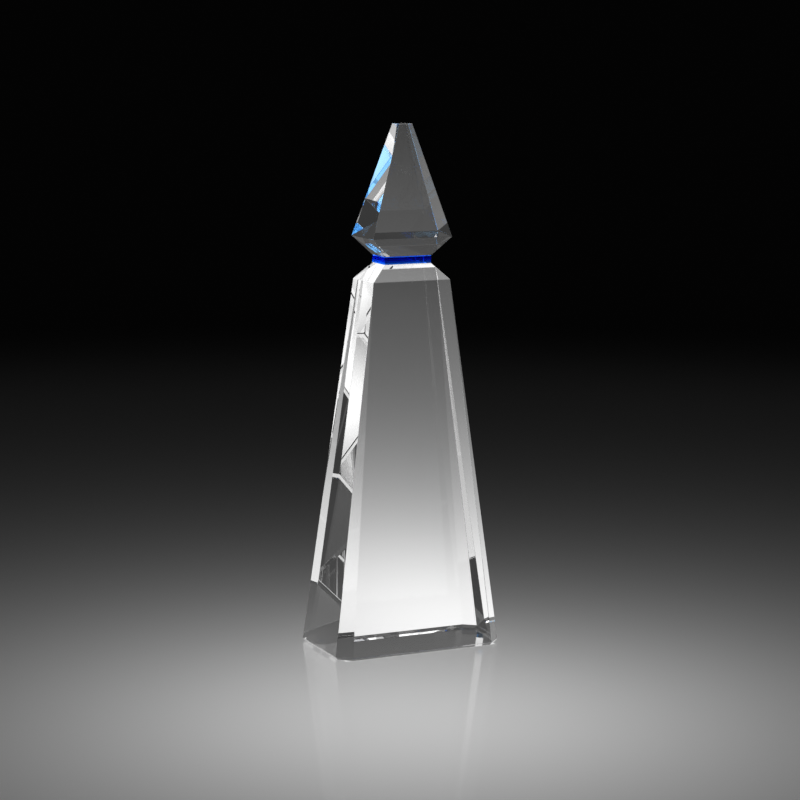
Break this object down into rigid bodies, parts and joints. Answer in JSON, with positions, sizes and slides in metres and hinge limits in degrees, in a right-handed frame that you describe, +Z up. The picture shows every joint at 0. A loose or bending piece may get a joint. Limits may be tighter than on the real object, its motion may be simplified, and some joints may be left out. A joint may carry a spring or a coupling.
{
  "type": "crystal award",
  "caption": "Tapered clear crystal obelisk with a thin cobalt-blue neck wafer and a diamond-cut finial, a free-standing award that rests on its flat foot.",
  "frame": {"origin": "centre of the flat underside", "axes": "+Z up through the finial's point, -Y out of the broad front face, +X to the right as seen from the front"},
  "size_m": [0.1046, 0.0638, 0.305],
  "materials": {
    "clear_crystal": "optically polished, colourless",
    "cobalt_crystal": "optically polished, deep cobalt blue",
    "clear_adhesive": "clear cured adhesive film"
  },
  "bodies": {
    "root": {"tower_body": "clear_crystal", "lower_bond_layer": "clear_adhesive", "blue_neck_wafer": "cobalt_crystal", "upper_bond_layer": "clear_adhesive", "diamond_finial": "clear_crystal"}
  },
  "joints": []
}
